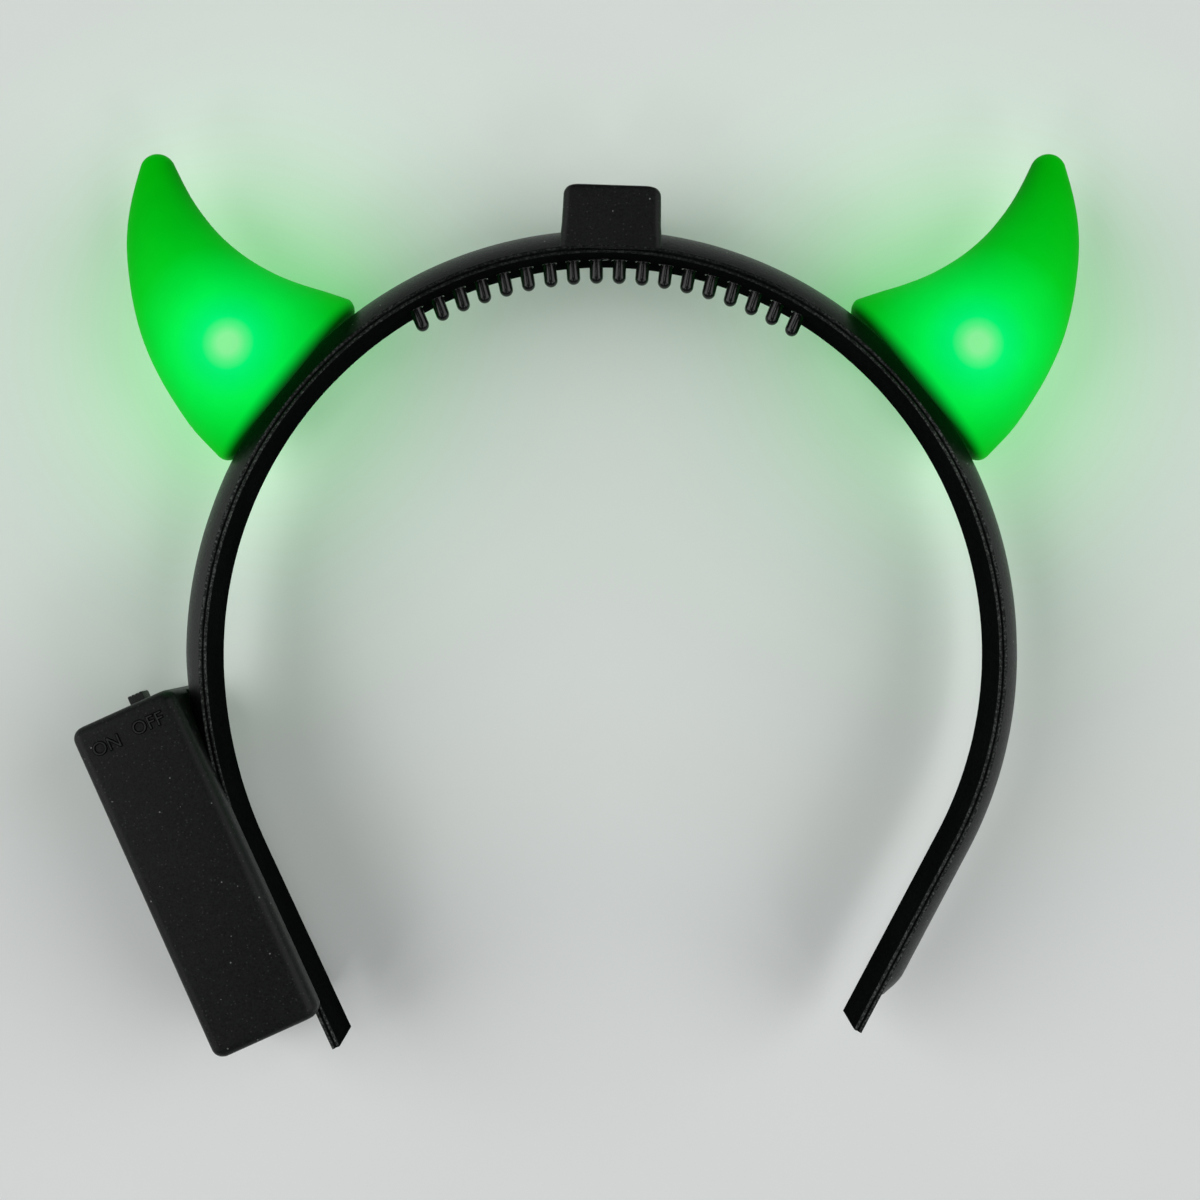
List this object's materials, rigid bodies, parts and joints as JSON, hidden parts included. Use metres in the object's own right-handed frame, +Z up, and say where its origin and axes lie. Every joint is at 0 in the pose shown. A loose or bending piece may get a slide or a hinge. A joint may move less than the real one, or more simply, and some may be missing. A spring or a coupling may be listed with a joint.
{
  "type": "light-up devil horns headband",
  "caption": "Light-up devil horns headband: black moulded band with inner comb teeth, glowing green horns, a crown box and a battery case with a slide switch.",
  "frame": {"origin": "centre of the overall box at the surface that the headband lies on", "axes": "+X across the head towards the right arm, +Y from the arm ends towards the crown, +Z up through the band's width, away from the surface"},
  "size_m": [0.1688, 0.1528, 0.028],
  "materials": {
    "black_abs": "black moulded ABS with a fine spark-eroded grain",
    "grey_abs": "dark grey moulded ABS, satin",
    "green_vinyl": "green translucent vinyl, soft sheen, lit from inside",
    "lamp_epoxy": "clear epoxy lamp, lit pale green"
  },
  "bodies": {
    "headband": {"band": "black_abs", "battery_case": "black_abs", "left_horn": "green_vinyl", "right_horn": "green_vinyl", "left_lamp": "lamp_epoxy", "right_lamp": "lamp_epoxy"},
    "switch": {"switch_knob": "grey_abs"}
  },
  "joints": [
    {"name": "switch_slide", "type": "slide", "parent": "headband", "child": "switch", "axis": [-0.9114, -0.4115, 0], "range_m": [0, 0.0024]}
  ]
}
